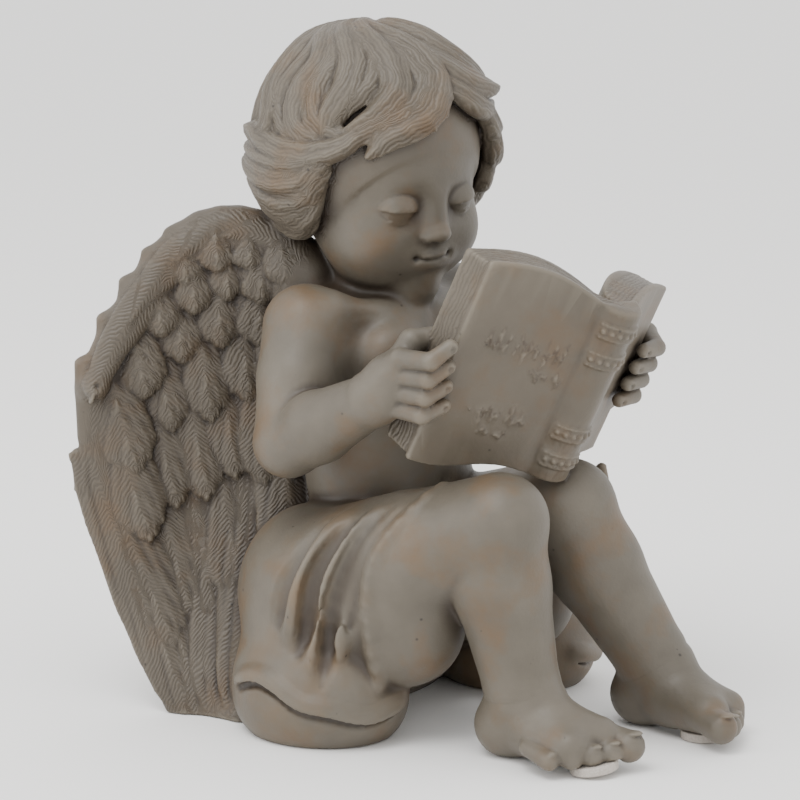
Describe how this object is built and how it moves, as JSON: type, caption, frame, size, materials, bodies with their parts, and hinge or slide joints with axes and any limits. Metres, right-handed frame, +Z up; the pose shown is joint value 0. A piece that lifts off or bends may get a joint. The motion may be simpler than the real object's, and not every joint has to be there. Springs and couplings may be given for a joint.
{
  "type": "sitting angel figurine",
  "caption": "Aged grey-beige resin figurine of a winged child that sits and reads an open book, with foam pads under its feet",
  "frame": {"origin": "middle of the flat underside of the seat", "axes": "X to the figure's left, Y to the back, Z up; the figure faces -Y"},
  "size_m": [0.1379, 0.1743, 0.197],
  "materials": {
    "aged_resin": "painted cast resin in aged stone grey with a brown wash in the recesses",
    "pad_foam": "light grey closed-cell foam"
  },
  "bodies": {
    "root": {"angel_casting": "aged_resin", "right_foot_pad": "pad_foam", "left_foot_pad": "pad_foam"}
  },
  "joints": []
}
